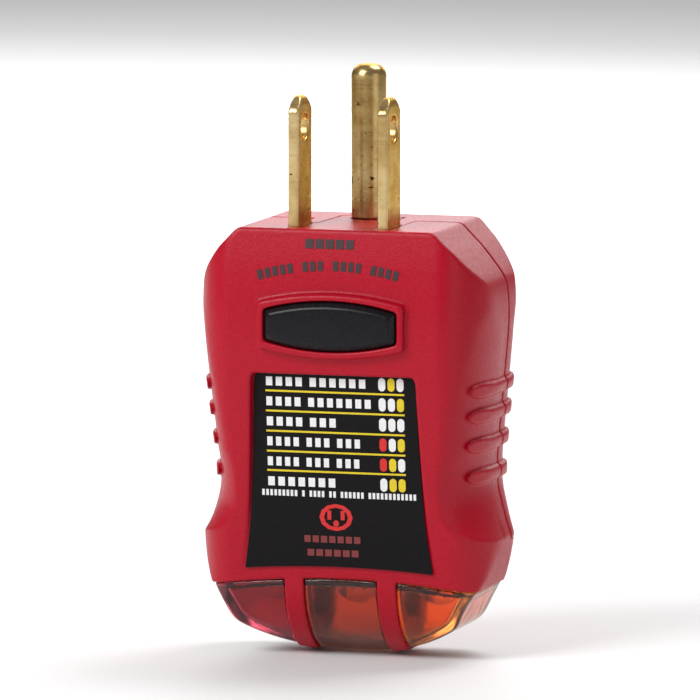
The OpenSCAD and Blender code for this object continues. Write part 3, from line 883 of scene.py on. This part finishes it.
# a plain picture of a receptacle: a ring, two slots and the grounding hole
EMBLEM_X = -0.2
EMBLEM_DOWN = label_down(-39.8)
EMBLEM_R, EMBLEM_STRETCH, EMBLEM_INNER = 1.9, 1.25, 0.72
SLOT_X = (-1.15, 0.75)
SIDES = 12
for k in range(SIDES):
    a0, a1 = 2 * math.pi * k / SIDES, 2 * math.pi * (k + 1) / SIDES
    red.append([(EMBLEM_X + r * EMBLEM_R * math.cos(a) * EMBLEM_STRETCH,
                 EMBLEM_DOWN + r * EMBLEM_R * math.sin(a))
                for r, a in ((1.0, a0), (EMBLEM_INNER, a0), (EMBLEM_INNER, a1), (1.0, a1))])
for x in SLOT_X:
    red.append(bar(x - 0.28, x + 0.28, EMBLEM_DOWN - 0.95, EMBLEM_DOWN + 0.35))
red.append(pill(EMBLEM_X, EMBLEM_DOWN + 0.85, 0.8, 0.9))
dull = word_blocks(-4.8, 3.2, label_down(-42.9), 0.95, (7,), 0.3)
dull += word_blocks(-4.4, 2.9, label_down(-44.8), 0.95, (6,), 0.3)
for name, shapes, material, slot in (("white_marks", white, WHITE_INK, "label"),
                                     ("yellow_marks", yellow, YELLOW_INK, "label"),
                                     ("red_marks", red, RED_INK, "label"),
                                     ("dull_marks", dull, DULL_INK, "label")):
    stand_for(prisms(name, shapes, on_label, 0.19, 0.235, material), "tester", slot)

dark = word_blocks(-4.0, 2.9, 1.95, 1.25, (5,), 0.3)
# an arched line of blocks above the button
ARC_R, ARC_TOP = 38.0, 4.9
ARC_GROUPS = (5, 3, 4, 4)
ARC_START, ARC_STEP, ARC_HALF_STEP = -0.286, 0.0285, 0.0125
BLOCK_HALF_W, BLOCK_HALF_H = 0.36, 0.65
angle = ARC_START
for group in ARC_GROUPS:
    for _ in range(group):
        middle = angle + ARC_HALF_STEP
        x, down = ARC_R * math.sin(middle), ARC_TOP + ARC_R * (1 - math.cos(middle))
        c, s = math.cos(middle), math.sin(middle)
        dark.append([(x + c * u - s * v, down + s * u + c * v)
                     for u, v in ((-BLOCK_HALF_W, BLOCK_HALF_H), (BLOCK_HALF_W, BLOCK_HALF_H),
                                  (BLOCK_HALF_W, -BLOCK_HALF_H), (-BLOCK_HALF_W, -BLOCK_HALF_H))])
        angle += ARC_STEP
    angle += ARC_STEP
stand_for(prisms("housing_marks", dark, on_front, -0.05, 0.03, DARK_INK), "tester", "housing")

for nodes, material in ((("circuit_board",), LAMINATE), (("contact_leaf", "fixed_contact"), SPRING),
                        (("lamp_glass_left", "lamp_glass_centre", "lamp_glass_right"), GLASS),
                        (("lamp_leads",), TINNED), (("lamp_resistors", "test_resistor"), CERAMIC),
                        (("hot_wire",), BLACK_PVC), (("neutral_wire",), WHITE_PVC),
                        (("ground_wire",), GREEN_PVC), (("case_screws",), STEEL)):
    for node in nodes:
        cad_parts[node].data.materials.clear()
        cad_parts[node].data.materials.append(material)


# ---------------------------------------------------------------- stage, light and camera
def make_stage():
    """Pale floor under the object and an even pale sky."""
    floor_material = new_material("pale_floor", (0.88, 0.88, 0.88), 0.7)[0]
    size = 3000.0
    z = cad_box[0][2] / MM - 0.05
    corners = [(-size, -size, z), (size, -size, z), (size, size, z), (-size, size, z)]
    make_object("floor", corners, [(0, 1, 2, 3)], floor_material, smooth=False)
    world = bpy.data.worlds.new("studio")
    world.use_nodes = True
    world.node_tree.nodes["Background"].inputs["Color"].default_value = (1, 1, 1, 1)
    world.node_tree.nodes["Background"].inputs["Strength"].default_value = 0.25
    bpy.context.scene.world = world
    bpy.context.scene.view_settings.view_transform = "Standard"


def area_light(name, place, target, size, power):
    """Soft rectangular light aimed at a target, in metres and watts."""
    data = bpy.data.lights.new(name, "AREA")
    data.shape = "RECTANGLE"
    data.size, data.size_y = size
    data.energy = power
    light = bpy.data.objects.new(name, data)
    light.location = place
    light.rotation_euler = (Vector(target) - Vector(place)).to_track_quat("-Z", "Y").to_euler()
    bpy.context.scene.collection.objects.link(light)


def make_camera():
    """Camera turned 16.5 degrees round to the right and 6.7 above, aimed beside and below the plug face.

    The view is this wide at the object, and the aim is how far right and up of the frame's origin it goes.
    """
    turn, tilt = math.radians(16.5), math.radians(6.676)
    distance, view_width = 1291.7, 95.9
    aim_right, aim_up = 0.7672, -16.94142
    ahead = Vector((-math.sin(turn) * math.cos(tilt), math.cos(turn) * math.cos(tilt), -math.sin(tilt)))
    right = Vector((math.cos(turn), math.sin(turn), 0))
    up = right.cross(ahead)
    data = bpy.data.cameras.new("camera")
    data.sensor_width = 36
    data.lens = data.sensor_width * distance / view_width
    data.clip_start, data.clip_end = 0.05, 20
    camera = bpy.data.objects.new("camera", data)
    rows = Matrix((right, up, -ahead)).transposed().to_4x4()
    place = right * aim_right + up * aim_up - ahead * distance
    camera.matrix_world = Matrix.Translation(place * MM) @ rows
    bpy.context.scene.collection.objects.link(camera)
    bpy.context.scene.camera = camera


make_stage()
make_camera()
area_light("key", (-0.34, -0.48, 0.42), (0, 0, -0.02), (0.40, 0.40), 4.3)
area_light("fill", (0.60, -0.30, 0.10), (0, 0, -0.02), (0.40, 0.40), 0.5)
area_light("behind", (-0.02, 0.90, 0.25), (0, 0, 0), (0.60, 0.22), 1.0)
area_light("over", (0.14, 0.24, 0.45), (0.03, 0.05, -0.06), (0.25, 0.25), 1.5)
area_light("backdrop", (-0.28, 0.62, 0.30), (-0.2, 0.62, -0.06), (0.5, 0.5), 2.6)
